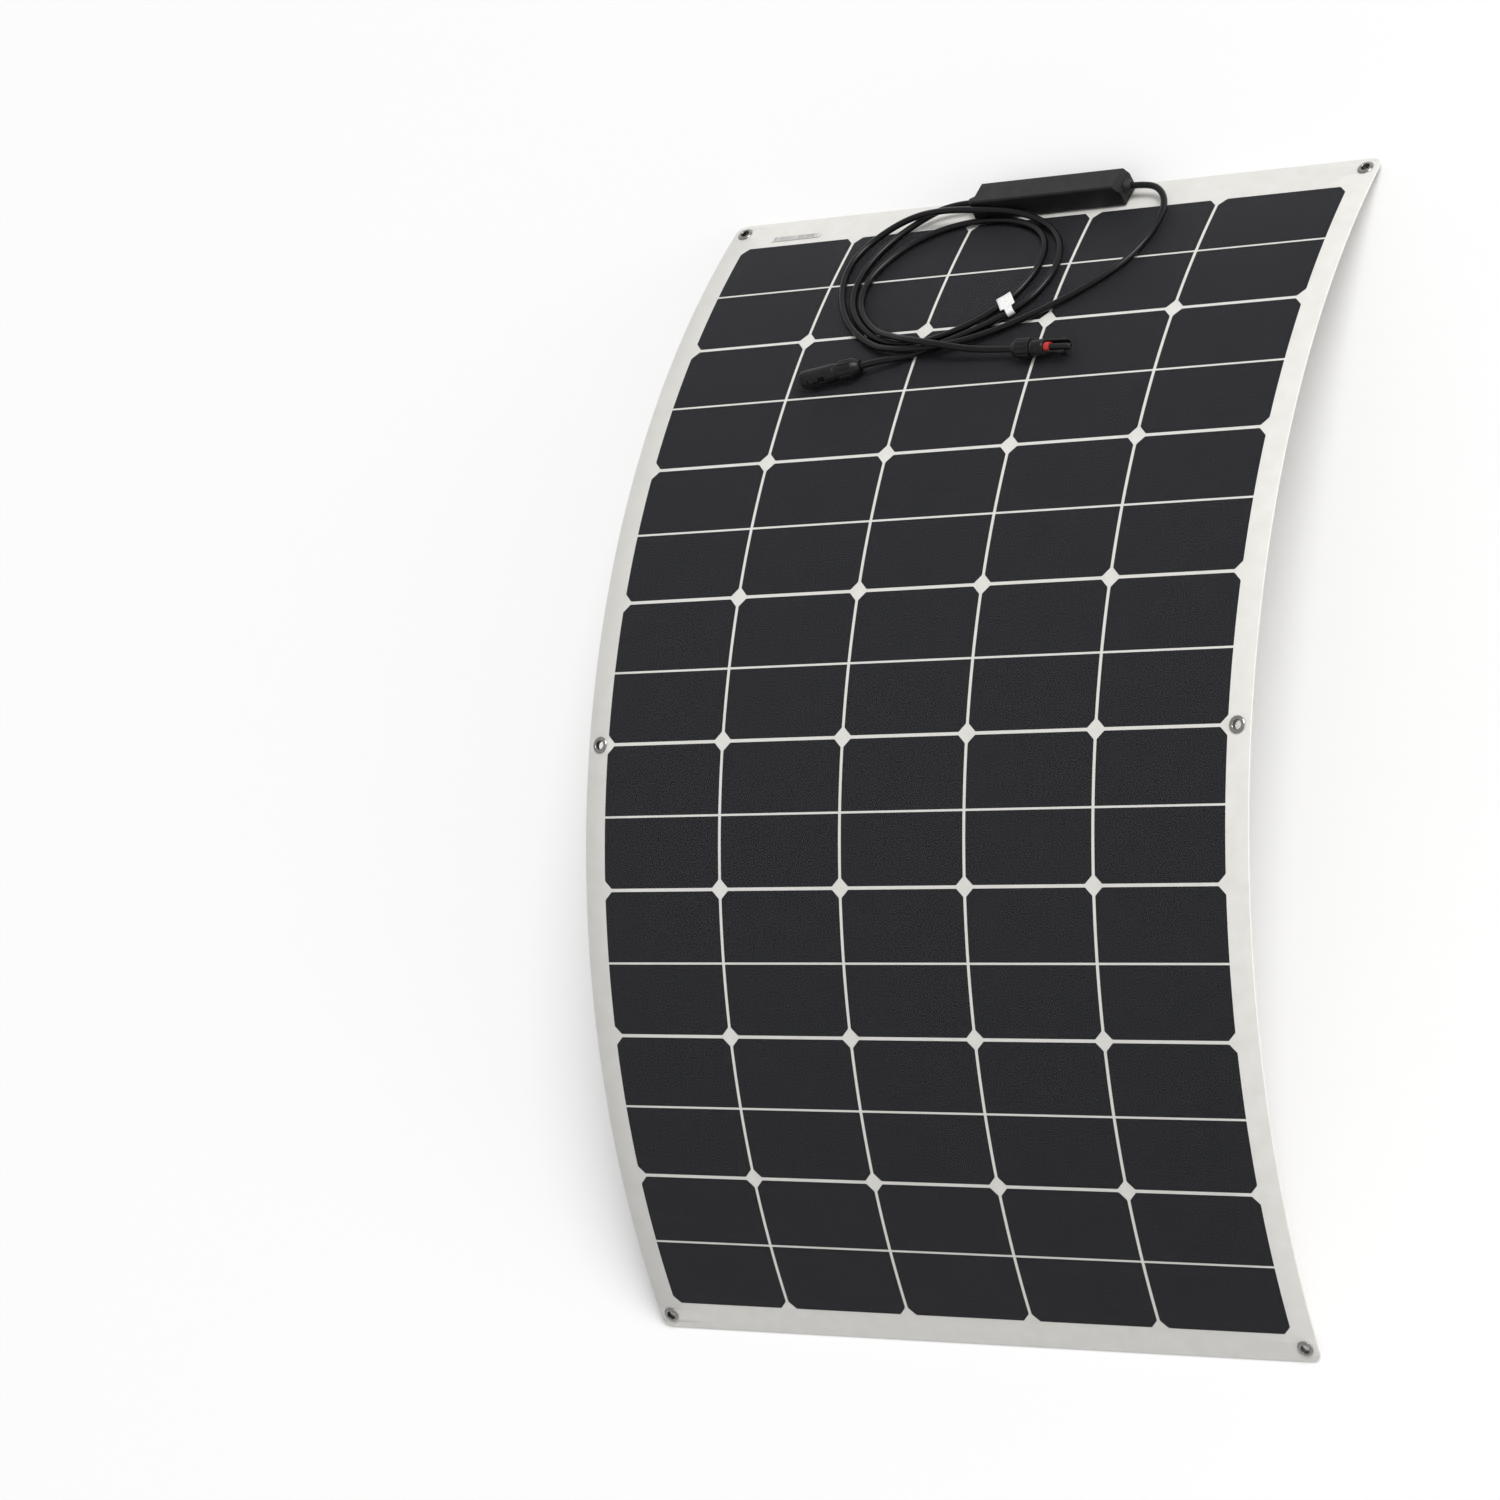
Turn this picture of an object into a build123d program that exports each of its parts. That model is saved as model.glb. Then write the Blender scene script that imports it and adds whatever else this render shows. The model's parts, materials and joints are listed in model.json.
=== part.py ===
from build123d import *
import math
import os

# Flexible solar sheet, bent into a low arch that stands on its two short edges.
# Millimetres. +Z up, +Y towards the junction box, +X across the sheet, cells outside.
# The sheet is described by three coordinates: x across, s along the bend from the
# crown (positive towards the junction box) and h, the height above the outer face.

# ---- driving dimensions -------------------------------------------------------------
BEND_RADIUS = 850.0        # outer face of the sheet
SHEET_WIDTH = 680.0
COLUMNS = 5
ROWS = 8
CELL = 125.0               # a cell's side across the sheet
HALF_CELL = 62.5           # each cell is cut in half along the sheet
HALF_GAP = 2.0             # between the two halves of a cell
CELL_GAP = 3.0             # between neighbouring cells, both ways
CELL_CORNER = 7.0          # leg of the cut corner of a pseudo-square cell
TOP_MARGIN = 35.0          # from the junction box's edge to the first cell
BOTTOM_MARGIN = 26.0
CORNER_RADIUS = 10.0

FILM = 0.9                 # clear film and the resin around the cells
CELL_THICKNESS = 0.3
CELL_DEPTH = FILM - CELL_THICKNESS
BACKSHEET = 1.9
TAB_THICKNESS = 0.2
THICKNESS = FILM + BACKSHEET
HINGE_DEPTH = THICKNESS / 2
STRIP_GAP = 0.5            # between neighbouring strips of the sheet

EYELET_HOLE_R = 4.0
EYELET_BARREL_R = 5.0
EYELET_FLANGE_R = 7.5
EYELET_INSET = 12.5
WASHER_CLEARANCE = 0.05

BOX_X = 17.0               # the junction box sits a little right of the middle
BOX_TO_CELLS = 4.5
BOX_LENGTH = 158.0
BOX_WIDTH = 27.0
BOX_HEIGHT = 22.0
BOX_SEAM = 16.0
BOX_WALL = 2.4
BOX_EDGE = 2.0
PAD_HEIGHT = 1.0

GLAND_LENGTH = 6.0
CORD_HEIGHT = 11.0         # of the cord's middle where it leaves the box
CORD_D = 6.0

NUT_R = 9.0
NUT_LENGTH = 21.0
PLUG_LENGTH = 60.0
LATCH_WINDOWS = [(35.5, 41.5), (46.0, 52.5)]    # where each begins and ends along the sleeve
WINDOW_WIDTH = 4.2
WINDOW_LEAN = 24.0         # degrees that the two sides' windows lean away from the sheet

# ---- worked out ----------------------------------------------------------------------
CELL_PITCH = CELL + CELL_GAP
ROW_LENGTH = 2 * HALF_CELL + HALF_GAP
ROW_PITCH = ROW_LENGTH + CELL_GAP
SHEET_LENGTH = TOP_MARGIN + ROWS * ROW_LENGTH + (ROWS - 1) * CELL_GAP + BOTTOM_MARGIN
S_END = SHEET_LENGTH / 2
S_CELLS = S_END - TOP_MARGIN
HALF_ANGLE = S_END / BEND_RADIUS
S_BOX = S_CELLS + BOX_TO_CELLS + BOX_WIDTH / 2
S_HINGES = [S_CELLS - HALF_CELL - HALF_GAP / 2 - i * ROW_PITCH for i in range(ROWS)]
S_MIDDLE = S_CELLS - 4 * ROW_PITCH + CELL_GAP / 2

BOX_ANGLE = S_BOX / BEND_RADIUS
Y_BOX = (
    (BEND_RADIUS + BOX_HEIGHT - BOX_EDGE) * math.sin(BOX_ANGLE)
    + (BOX_WIDTH / 2 - BOX_EDGE) * math.cos(BOX_ANGLE)
    + BOX_EDGE
)
ARC_Y = (BEND_RADIUS * math.sin(HALF_ANGLE) - Y_BOX) / 2
ARC_Z = -(BEND_RADIUS - THICKNESS) * math.cos(HALF_ANGLE)

# Each cord's route: x, distance below the cells' upper edge, height above the sheet.
LEFT_ROUTE = [
    (BOX_X - BOX_LENGTH / 2 - GLAND_LENGTH, S_CELLS - S_BOX, CORD_HEIGHT),
    (-91, S_CELLS - S_BOX, CORD_HEIGHT),
    (-120, -7, 6),
    (-147, 18, 4),
    (-162, 56, 4),
    (-157, 92, 4),
    (-134, 123, 4),
    (-100, 143.5, 4),
    (-60, 147, 4),
    (-20, 134, 4),
    (14, 112, 4),
    (34, 82, 4),
    (36, 48, 4),
    (20, 20, 4),
    (-16, 3, 4),
    (-58, -1, 4),
    (-98, 8, 4),
    (-130, 32, 4),
    (-149, 66, 4),
    (-143, 100, 4),
    (-116, 128, 5.5),
    (-86, 143, 12),
    (-62, 152, 17.4),
    (-32, 159, 17.2),
    (-2, 163, 11.5),
    (24, 165, 9.6),
    (46, 166, 9.6),
]
RIGHT_ROUTE = [
    (BOX_X + BOX_LENGTH / 2 + GLAND_LENGTH, S_CELLS - S_BOX, CORD_HEIGHT),
    (120, S_CELLS - S_BOX, CORD_HEIGHT),
    (135, -9, 9),
    (143, 7, 6),
    (143, 29, 4.2),
    (136, 57, 4),
    (117, 83, 4),
    (86, 106, 4),
    (50, 125, 4),
    (14, 141, 4.5),
    (-20, 152, 7),
    (-44, 157, 10.8),
    (-78, 157, 10.8),
    (-112, 146, 5),
    (-148, 119, 4),
    (-172, 80, 4),
    (-178, 40, 4),
    (-161, 9, 5),
    (-125, -5, 13),
    (-88, -4, 17.6),
    (-50, 0, 17),
    (-10, 0.5, 11),
    (26, 14, 4.5),
    (50, 42, 4),
    (56, 76, 4),
    (42, 108, 4),
    (8, 131, 4),
    (-32, 147, 4),
    (-68, 160, 4),
    (-93, 166.5, 9.6),
    (-112, 170, 9.6),
]
TAG_RUN = 25               # the tag is on this run of the right cord


# ---- placing things on the bent sheet --------------------------------------------------
def on_sheet(x, s, h):
    """The point at x across, s along and h above the bent sheet."""
    angle = s / BEND_RADIUS
    radius = BEND_RADIUS + h
    return Vector(x, ARC_Y + radius * math.sin(angle), ARC_Z + radius * math.cos(angle))


def sheet_plane(x, s, h=0):
    """A plane on the sheet: its X is across, its Y along +s and its Z outwards."""
    angle = s / BEND_RADIUS
    return Plane(on_sheet(x, s, h), x_dir=(1, 0, 0), z_dir=(0, math.sin(angle), math.cos(angle)))


def strip(x0, x1, s0, s1, h0, h1):
    """A curved plate between two heights above the outer face."""
    middle = (s0 + s1) / 2
    outline = Wire([
        ThreePointArc(on_sheet(x0, s0, h1), on_sheet(x0, middle, h1), on_sheet(x0, s1, h1)),
        Line(on_sheet(x0, s1, h1), on_sheet(x0, s1, h0)),
        ThreePointArc(on_sheet(x0, s1, h0), on_sheet(x0, middle, h0), on_sheet(x0, s0, h0)),
        Line(on_sheet(x0, s0, h0), on_sheet(x0, s0, h1)),
    ])
    return extrude(Face(outline), amount=x1 - x0, dir=(1, 0, 0))


def corner_edges(plate, s):
    """The short edges through the plate's thickness at one end of it."""
    normal = sheet_plane(0, s).z_dir
    across = [e for e in plate.edges() if abs((e @ 1 - e @ 0).normalized().dot(normal)) > 0.999]
    target = on_sheet(0, s, 0)
    return [e for e in across if abs(e.center().Y - target.Y) < THICKNESS]


# ---- the sheet ---------------------------------------------------------------------------
def strip_ends(index):
    """The upper and lower end of one strip, with half the gap taken off at each joint."""
    upper = S_END if index == 0 else S_HINGES[index - 1] - STRIP_GAP / 2
    lower = -S_END if index == ROWS else S_HINGES[index] + STRIP_GAP / 2
    return upper, lower


def margin_strip(index, h0, h1):
    """One strip's full-width layer, with the sheet's round corners at either end."""
    upper, lower = strip_ends(index)
    layer = strip(-SHEET_WIDTH / 2, SHEET_WIDTH / 2, lower, upper, h0, h1)
    if index == 0:
        layer = fillet(corner_edges(layer, upper), CORNER_RADIUS)
    if index == ROWS:
        layer = fillet(corner_edges(layer, lower), CORNER_RADIUS)
    return layer


def column_x(column):
    """The middle of one column of cells."""
    return (column - (COLUMNS - 1) / 2) * CELL_PITCH


def half_cell_row(s_cut, s_straight):
    """Five half cells; their cut corners are at s_cut."""
    cells = []
    for column in range(COLUMNS):
        x0 = column_x(column) - CELL / 2
        low, high = min(s_cut, s_straight), max(s_cut, s_straight)
        cell = strip(x0, x0 + CELL, low, high, -FILM, -CELL_DEPTH)
        cells.append(chamfer(corner_edges(cell, s_cut), CELL_CORNER))
    return cells


def strip_cells(index):
    """The half cells of one strip: below the row gap and above it."""
    cells = []
    if index > 0:
        bottom = S_CELLS - (index - 1) * ROW_PITCH - ROW_LENGTH
        cells += half_cell_row(bottom, bottom + HALF_CELL)
    if index < ROWS:
        top = S_CELLS - index * ROW_PITCH
        cells += half_cell_row(top, top - HALF_CELL)
    return cells


def interconnects(index):
    """Flat ribbons under the cells: tabs over a row gap, or the bus at either end."""
    ribbons = []
    if 0 < index < ROWS:
        gap = S_CELLS - index * ROW_PITCH + CELL_GAP / 2
        for column in range(COLUMNS):
            for offset in (-40, 0, 40):
                x = column_x(column) + offset
                ribbons.append(strip(x - 3, x + 3, gap - 6, gap + 6, -FILM - TAB_THICKNESS, -FILM))
    else:
        edge = S_CELLS + 2 if index == 0 else S_CELLS - ROWS * ROW_PITCH + CELL_GAP - 7
        for side in (-1, 1):
            x0, x1 = sorted((side * 16, side * 300))
            ribbons.append(strip(x0, x1, edge, edge + 5, -FILM - TAB_THICKNESS, -FILM))
    return ribbons


def eyelet_places(s):
    """The planes of the two eyelets at one station."""
    x = SHEET_WIDTH / 2 - EYELET_INSET
    return [sheet_plane(-x, s), sheet_plane(x, s)]


def ring(outer_r, inner_r, z0, z1):
    """A plain ring between two heights."""
    tube = Cylinder(outer_r, z1 - z0) - Cylinder(inner_r, z1 - z0)
    return Pos(0, 0, (z0 + z1) / 2) * tube


def eyelet():
    """A flanged barrel whose lower end is rolled over the washer."""
    back = -THICKNESS - WASHER_CLEARANCE
    top = fillet(ring(EYELET_FLANGE_R, EYELET_HOLE_R, 0.05, 1.05).edges().group_by(Axis.Z)[-1], 0.4)
    barrel = ring(EYELET_BARREL_R, EYELET_HOLE_R, back - 1.4, 0.05)
    rolled = ring(EYELET_BARREL_R + 1.2, EYELET_HOLE_R, back - 1.5, back - 0.8)
    return top + barrel + rolled


def washer():
    """The flat ring behind the sheet."""
    back = -THICKNESS - WASHER_CLEARANCE
    return ring(EYELET_FLANGE_R, EYELET_BARREL_R, back - 0.8, back)


# ---- junction box, in its own plane on the sheet ------------------------------------------
def block(length, width, z0, z1):
    """A rectangular block between two heights."""
    return Pos(0, 0, (z0 + z1) / 2) * Box(length, width, z1 - z0)


def box_shell():
    """The box's outer shape: sloping ends and softened long edges."""
    shell = block(BOX_LENGTH, BOX_WIDTH, PAD_HEIGHT, BOX_HEIGHT)
    ends = [e for e in shell.edges().group_by(Axis.Z)[-1] if abs(e.center().X) > BOX_LENGTH / 2 - 1]
    shell = chamfer(ends, length=5.5, length2=9.0, reference=shell.faces().sort_by(Axis.Z)[-1])
    long_edges = [e for e in shell.edges().group_by(Axis.Z)[-1] if abs(e.center().X) < 1]
    shell = fillet(long_edges, BOX_EDGE)
    uprights = [e for e in shell.edges().filter_by(Axis.Z) if abs(e.center().X) > BOX_LENGTH / 2 - 1]
    return fillet(uprights, BOX_EDGE)


def seal_groove():
    """The ring in the middle of the base's rim."""
    middle = BOX_WALL / 2
    outer = block(BOX_LENGTH - middle, BOX_WIDTH - middle, BOX_SEAM - 1, BOX_SEAM)
    return outer - block(BOX_LENGTH - middle - 2, BOX_WIDTH - middle - 2, BOX_SEAM - 1, BOX_SEAM)


def box_base():
    """The lower tray, with a hole for each cord."""
    tray = box_shell() & block(BOX_LENGTH, BOX_WIDTH, 0, BOX_SEAM)
    tray -= block(BOX_LENGTH - 2 * BOX_WALL, BOX_WIDTH - 2 * BOX_WALL, PAD_HEIGHT + 2, BOX_SEAM)
    tray -= Pos(0, 0, CORD_HEIGHT) * Rot(0, 90, 0) * Cylinder(CORD_D / 2, BOX_LENGTH + 2)
    return tray - seal_groove()


def box_lid():
    """The cover, hollow inside."""
    lid = box_shell() & block(BOX_LENGTH, BOX_WIDTH, BOX_SEAM, BOX_HEIGHT)
    inner = BOX_LENGTH - 2 * BOX_WALL - 14
    return lid - block(inner, BOX_WIDTH - 2 * BOX_WALL - 1, BOX_SEAM, BOX_HEIGHT - 2)


def box_pad():
    """The adhesive pad, shaped to the bend underneath."""
    pad = sheet_plane(BOX_X, S_BOX) * block(BOX_LENGTH - 4, BOX_WIDTH - 4, -1, PAD_HEIGHT)
    inside = Plane(on_sheet(-SHEET_WIDTH / 2, 0, -BEND_RADIUS), x_dir=(0, 1, 0), z_dir=(1, 0, 0))
    roller = Solid.make_cylinder(BEND_RADIUS, SHEET_WIDTH, inside)
    return pad - roller


def terminals():
    """Two clamps, each with the bared end of its cord."""
    clamps = []
    for side in (-1, 1):
        x = side * 58
        clamp = Pos(x, 0, 0) * block(11, 8, PAD_HEIGHT + 2, CORD_HEIGHT + 3)
        core_end = side * (BOX_LENGTH / 2 + GLAND_LENGTH)
        core = Pos((x + core_end) / 2, 0, CORD_HEIGHT) * Rot(0, 90, 0) * Cylinder(1.3, abs(core_end - x))
        screw = Pos(x, 0, CORD_HEIGHT + 3.6) * Cylinder(2.4, 1.2)
        clamps.append(clamp + core + screw)
    return clamps


def bypass_diode():
    """A flat-bodied diode on two legs between the clamps."""
    floor = PAD_HEIGHT + 2
    body = block(17, 14, floor, floor + 4.5)
    legs = [Pos(side * 13, 0, 0) * block(12, 1.6, floor, floor + 0.8) for side in (-1, 1)]
    return body + legs


def gland():
    """A tapered collar on the box's end, around the cord; it points along +X from the face."""
    collar = Rot(0, 90, 0) * Pos(0, 0, GLAND_LENGTH / 2) * Cone(6.0, 4.4, GLAND_LENGTH)
    bore = Rot(0, 90, 0) * Pos(0, 0, GLAND_LENGTH / 2) * Cylinder(CORD_D / 2, GLAND_LENGTH)
    return collar - bore


def glands():
    """Both collars."""
    right = Pos(BOX_LENGTH / 2, 0, CORD_HEIGHT) * gland()
    left = Pos(-BOX_LENGTH / 2, 0, CORD_HEIGHT) * Rot(0, 0, 180) * gland()
    return [left, right]


# ---- cords --------------------------------------------------------------------------------
def route_points(route):
    """A route's points in space."""
    return [on_sheet(x, S_CELLS - below, h) for x, below, h in route]


def corner_radii(points):
    """For each corner, the largest arc that 0.45 of its shorter run allows."""
    radii = []
    for before, corner, after in zip(points, points[1:], points[2:]):
        run_in, run_out = corner - before, after - corner
        half_turn = math.radians(run_in.get_angle(run_out)) / 2
        radii.append(0.45 * min(run_in.length, run_out.length) / math.tan(half_turn))
    return radii


def cord(name, route):
    """A round tube along the route; its volume is compared with section times length."""
    points = route_points(route)
    radii = corner_radii(points)
    path = FilletPolyline(*points, radius=radii)
    tube = sweep(Plane(path @ 0, z_dir=path % 0) * Circle(CORD_D / 2), path=path)
    expected = math.pi * (CORD_D / 2) ** 2 * path.length
    print(name, "length", round(path.length), "volume ratio", round(tube.volume / expected, 4))
    print(name, "radii", [round(r) for r in radii])
    return tube


def cord_end(route):
    """A frame at the cord's end whose X points on along the cord and whose Z is away from the sheet."""
    before, end = route_points(route)[-2:]
    along = (end - before).normalized()
    away = sheet_plane(0, S_CELLS - route[-1][1]).z_dir
    return Plane(end, x_dir=along, z_dir=away - along * along.dot(away))


# ---- connectors, each along +X from the end of its cord ---------------------------------------
def turned(x0, x1, r0, r1=None):
    """A cylinder or cone about the X axis between two stations."""
    r1 = r0 if r1 is None else r1
    shape = Cylinder(r0, x1 - x0) if r0 == r1 else Cone(r0, r1, x1 - x0)
    return Pos((x0 + x1) / 2, 0, 0) * Rot(0, 90, 0) * shape


def cap_nut():
    """The ribbed nut that clamps the cord, with a domed end and six grip flats."""
    nut = turned(0, 6, 5.5, NUT_R - 0.6) + turned(6, NUT_LENGTH, NUT_R)
    for i in range(6):
        nut -= Rot(60 * i, 0, 0) * Pos(12, 0, NUT_R + 0.9) * Rot(0, 90, 0) * Cylinder(1.7, 14)
    return nut - turned(12, NUT_LENGTH, 6.2)


def latch_windows():
    """The openings in both sides that the other half's fingers snap into."""
    windows = []
    for side in (-1, 1):
        for x0, x1 in LATCH_WINDOWS:
            window = Pos((x0 + x1) / 2, side * 7, 0) * Box(x1 - x0, 6, WINDOW_WIDTH)
            windows.append(Rot(side * WINDOW_LEAN, 0, 0) * window)
    return windows


def sleeve_housing():
    """The tube-mouthed half, with a stepped neck inside the nut."""
    housing = turned(12, NUT_LENGTH, 6.0) + turned(NUT_LENGTH, 26, 7.6) + turned(26, PLUG_LENGTH, 8.2)
    housing -= turned(30, PLUG_LENGTH, 6.4)
    return housing - turned(12, 30, 2.0) - latch_windows()


def pin_contact():
    """The metal pin in the middle of the mouth."""
    return turned(12, 52, 2.0)


def finger_housing():
    """The nosed half: neck, collar, slim nose and two sprung fingers beside it."""
    housing = turned(12, NUT_LENGTH, 6.0) + turned(NUT_LENGTH, 35, 7.4) + turned(35, 61, 3.2)
    for side in (-1, 1):
        finger = Pos(45, side * 6.2, 0) * Box(26, 1.6, 5.5)
        hook = Pos(53, side * 7.4, 0) * Box(4, 1.2, 4)
        housing = housing + finger + hook
    return housing - turned(12, 61, 1.6)


def socket_contact():
    """The metal tube inside the nose."""
    return turned(12, 60, 1.6) - turned(44, 60, 1.0)


def nose_seal():
    """The soft ring around the root of the nose."""
    return turned(35, 40, 4.6) - turned(35, 40, 3.2)


def cord_tag():
    """A paper flag folded round the cord and lying inwards from it."""
    first, second = route_points(RIGHT_ROUTE)[TAG_RUN:TAG_RUN + 2]
    away = sheet_plane(0, S_CELLS - RIGHT_ROUTE[TAG_RUN][1]).z_dir
    along = (second - first).normalized()
    frame = Plane((first + second) / 2, x_dir=along, z_dir=away - along * along.dot(away))
    loop = turned(-3.5, 3.5, 3.7) - turned(-3.5, 3.5, 3.3)
    flag = Pos(0, -10, 3.5) * Box(12, 14, 0.4)
    neck = Pos(0, -2, 3.5) * Box(7, 4, 0.4)
    return frame * (loop + flag + neck - turned(-3.5, 3.5, 3.3))


# ---- assembly -----------------------------------------------------------------------------
def sheet_nodes():
    """Every layer of every strip, with the eyelets."""
    nodes = {}
    eyelet_stations = {0: S_END - EYELET_INSET, 4: S_MIDDLE, ROWS: EYELET_INSET - S_END}
    place_names = {0: "top", 4: "middle", ROWS: "bottom"}
    for index in range(ROWS + 1):
        cells = strip_cells(index)
        ribbons = interconnects(index)
        film = margin_strip(index, -FILM, 0) - cells
        back = margin_strip(index, -THICKNESS, -FILM) - ribbons
        if index in eyelet_stations:
            places = eyelet_places(eyelet_stations[index])
            holes = [place * Cylinder(EYELET_BARREL_R, 20) for place in places]
            film -= holes
            back -= holes
            name = place_names[index]
            nodes[f"eyelets_{name}"] = [place * eyelet() for place in places]
            nodes[f"eyelet_washers_{name}"] = [place * washer() for place in places]
        nodes[f"front_film_{index}"] = film
        nodes[f"backsheet_{index}"] = back
        nodes[f"cells_{index}"] = cells
        nodes[f"interconnects_{index}"] = ribbons
    return nodes


def box_nodes():
    """The junction box and what is in it."""
    plane = sheet_plane(BOX_X, S_BOX)
    nodes = {
        "junction_base": box_base(),
        "junction_lid": box_lid(),
        "junction_seal": seal_groove(),
        "bypass_diode": bypass_diode(),
        "cord_terminals": terminals(),
        "cord_glands": glands(),
    }
    for name, shape in nodes.items():
        nodes[name] = [plane * s for s in shape] if isinstance(shape, list) else plane * shape
    nodes["junction_pad"] = box_pad()
    return nodes


def cord_nodes():
    """Both cords, the two connector halves on them and the tag."""
    left_end, right_end = cord_end(RIGHT_ROUTE), cord_end(LEFT_ROUTE)
    return {
        "cord_left": cord("cord_left", LEFT_ROUTE),
        "cord_right": cord("cord_right", RIGHT_ROUTE),
        "sleeve_nut": left_end * cap_nut(),
        "sleeve_housing": left_end * sleeve_housing(),
        "pin_contact": left_end * pin_contact(),
        "finger_nut": right_end * cap_nut(),
        "finger_housing": right_end * finger_housing(),
        "socket_contact": right_end * socket_contact(),
        "nose_seal": right_end * nose_seal(),
        "cord_tag": cord_tag(),
    }


def write(nodes):
    """One file for each node."""
    os.makedirs("parts", exist_ok=True)
    for name, shape in nodes.items():
        solids = [s for piece in shape for s in piece.solids()] if isinstance(shape, list) else shape.solids()
        export_step(Compound(children=list(solids)) if len(solids) > 1 else solids[0], f"parts/{name}.step")


def main():
    """Builds and writes every node, then prints what other files state."""
    write({**sheet_nodes(), **box_nodes(), **cord_nodes()})
    for index, s in enumerate(S_HINGES):
        print("hinge", index, on_sheet(0, s, -HINGE_DEPTH))
    for s in (S_END - EYELET_INSET, S_MIDDLE, EYELET_INSET - S_END):
        print("eyelets", sheet_plane(0, s).origin, sheet_plane(0, s).z_dir)
    for end in (cord_end(RIGHT_ROUTE), cord_end(LEFT_ROUTE)):
        print("cord end", end.origin, end.x_dir, end.z_dir)


main()
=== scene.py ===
import json
import math
import random

import bmesh
import bpy
from mathutils import Matrix, Quaternion, Vector


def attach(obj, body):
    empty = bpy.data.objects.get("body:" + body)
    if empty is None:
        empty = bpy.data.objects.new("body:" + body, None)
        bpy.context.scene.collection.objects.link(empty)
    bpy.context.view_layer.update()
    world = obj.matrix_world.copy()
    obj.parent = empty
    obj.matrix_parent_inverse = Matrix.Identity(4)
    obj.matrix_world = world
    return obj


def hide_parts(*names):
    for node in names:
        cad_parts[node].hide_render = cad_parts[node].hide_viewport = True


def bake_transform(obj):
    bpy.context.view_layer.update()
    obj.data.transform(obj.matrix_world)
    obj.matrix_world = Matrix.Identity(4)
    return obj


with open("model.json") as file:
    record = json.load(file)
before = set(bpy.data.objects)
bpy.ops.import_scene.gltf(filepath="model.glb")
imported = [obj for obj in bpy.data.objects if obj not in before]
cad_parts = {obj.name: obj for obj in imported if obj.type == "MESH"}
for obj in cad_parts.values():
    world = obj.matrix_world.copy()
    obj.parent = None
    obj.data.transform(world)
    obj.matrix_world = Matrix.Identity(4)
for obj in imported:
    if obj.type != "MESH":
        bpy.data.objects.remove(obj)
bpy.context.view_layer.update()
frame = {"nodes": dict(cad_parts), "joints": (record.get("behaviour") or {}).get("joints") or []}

# ---- the bent sheet, in metres: x across, s along the bend from the crown, h above the face ------
THICKNESS = 0.0028
COLUMNS = 5
ROWS = 8
CELL = 0.125
HALF_CELL = 0.0625
HALF_GAP = 0.002
CELL_GAP = 0.003
CELL_CORNER = 0.007
TOP_MARGIN = 0.035
BOTTOM_MARGIN = 0.026
SHEET_WIDTH = 0.680
CORNER_RADIUS = 0.010
EYELET_INSET = 0.0125
EYELET_HOLE = 0.005        # radius of the hole in the sheet, around the eyelet's barrel
CUTTER_DEPTH = 0.02

CELL_PITCH = CELL + CELL_GAP
ROW_LENGTH = 2 * HALF_CELL + HALF_GAP
ROW_PITCH = ROW_LENGTH + CELL_GAP
SHEET_LENGTH = TOP_MARGIN + ROWS * ROW_PITCH - CELL_GAP + BOTTOM_MARGIN
S_END = SHEET_LENGTH / 2
S_CELLS = S_END - TOP_MARGIN
S_MIDDLE = S_CELLS - 4 * ROW_PITCH + CELL_GAP / 2
EYELET_X = SHEET_WIDTH / 2 - EYELET_INSET

# Heights of the layers: white backsheet, cells on it, clear film over both.
BACK_TOP = -0.00062
CELL_TOP = -0.00045
FILM_BOTTOM = -0.00042
BACK_EDGE = 0.0004         # the layers' long edges are bevelled by this much
FILM_EDGE = 0.00015
CELL_SOFTNESS = 0.0006     # rounding of a cell's cut corners

LAYER_STEP = 0.0055        # between a layer's cross sections
LAYER_COLUMNS = 14
CORNER_STEPS = 12
CELL_STEPS = 12
SAME_PLACE = 1e-5
TINY = 1e-9


def arc_of_hinges():
    """The centre (y, z) and radius of the circle through three of the sheet's hinges."""
    places = {j["name"]: j["pos_m"] for j in frame["joints"]}
    (y1, z1), (y2, z2), (y3, z3) = (places[n][1:] for n in ("flex_0", "flex_3", "flex_7"))
    d = 2 * (y1 * (z2 - z3) + y2 * (z3 - z1) + y3 * (z1 - z2))
    q1, q2, q3 = y1 * y1 + z1 * z1, y2 * y2 + z2 * z2, y3 * y3 + z3 * z3
    cy = (q1 * (z2 - z3) + q2 * (z3 - z1) + q3 * (z1 - z2)) / d
    cz = (q1 * (y3 - y2) + q2 * (y1 - y3) + q3 * (y2 - y1)) / d
    return cy, cz, math.hypot(y1 - cy, z1 - cz)


ARC_Y, ARC_Z, HINGE_RADIUS = arc_of_hinges()
BEND_RADIUS = HINGE_RADIUS + THICKNESS / 2


def on_sheet(x, s, h=0.0):
    """A point in the row frame from the sheet's own coordinates."""
    angle = s / BEND_RADIUS
    radius = BEND_RADIUS + h
    return Vector((x, ARC_Y + radius * math.sin(angle), ARC_Z + radius * math.cos(angle)))


def outward(s):
    """The sheet's outward direction at s."""
    return Vector((0, math.sin(s / BEND_RADIUS), math.cos(s / BEND_RADIUS)))


def sheet_matrix(x, s):
    """Local axes on the sheet: X across, Y along +s, Z outwards."""
    z = outward(s)
    x_axis = Vector((1, 0, 0))
    return Matrix.Translation(on_sheet(x, s)) @ axes_matrix(x_axis, z.cross(x_axis), z)


def axes_matrix(x, y, z):
    """A rotation from its three axes."""
    return Matrix((x, y, z)).transposed().to_4x4()


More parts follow.
